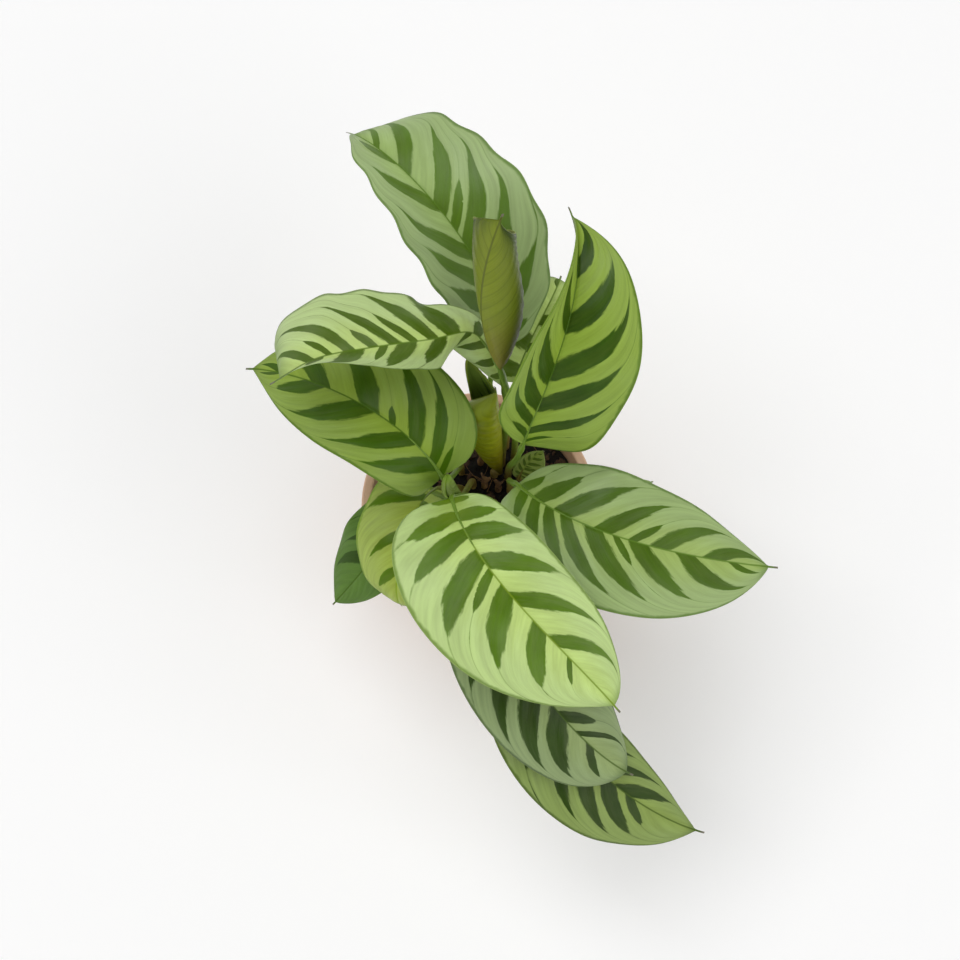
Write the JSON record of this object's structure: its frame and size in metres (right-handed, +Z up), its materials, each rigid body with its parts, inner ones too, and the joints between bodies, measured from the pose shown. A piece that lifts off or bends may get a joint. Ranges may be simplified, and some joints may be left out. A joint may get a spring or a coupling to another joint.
{
  "type": "potted calathea",
  "caption": "Calathea house plant with broad striped leaves on upright stems, standing in soil in a round nursery pot.",
  "frame": {"origin": "centre of the pot's flat underside, on the surface that the pot stands on", "axes": "+Z up out of the pot, +X to the viewer's right and +Y away from the viewer in the picture"},
  "size_m": [0.2506, 0.3106, 0.3282],
  "materials": {
    "pot": "satin",
    "soil": "matte",
    "leaf": "satin",
    "young_leaf": "satin",
    "dried_sheath": "matte"
  },
  "bodies": {
    "root": {"pot": "pot", "soil": "soil", "leaf_north": "leaf", "leaf_north_low": "leaf", "leaf_northeast": "leaf", "leaf_west": "leaf", "leaf_northwest": "leaf", "leaf_southeast": "leaf", "leaf_east": "leaf", "leaf_east_low": "leaf", "leaf_south": "leaf", "leaf_south_low": "leaf", "leaf_southwest": "leaf", "leaf_southwest_low": "leaf", "leaf_rolled": "young_leaf", "leaf_funnel": "young_leaf", "leaf_spear": "young_leaf", "leaf_young": "young_leaf", "old_sheath_1": "dried_sheath", "old_sheath_2": "dried_sheath", "old_sheath_3": "dried_sheath", "old_sheath_4": "dried_sheath"}
  },
  "joints": []
}
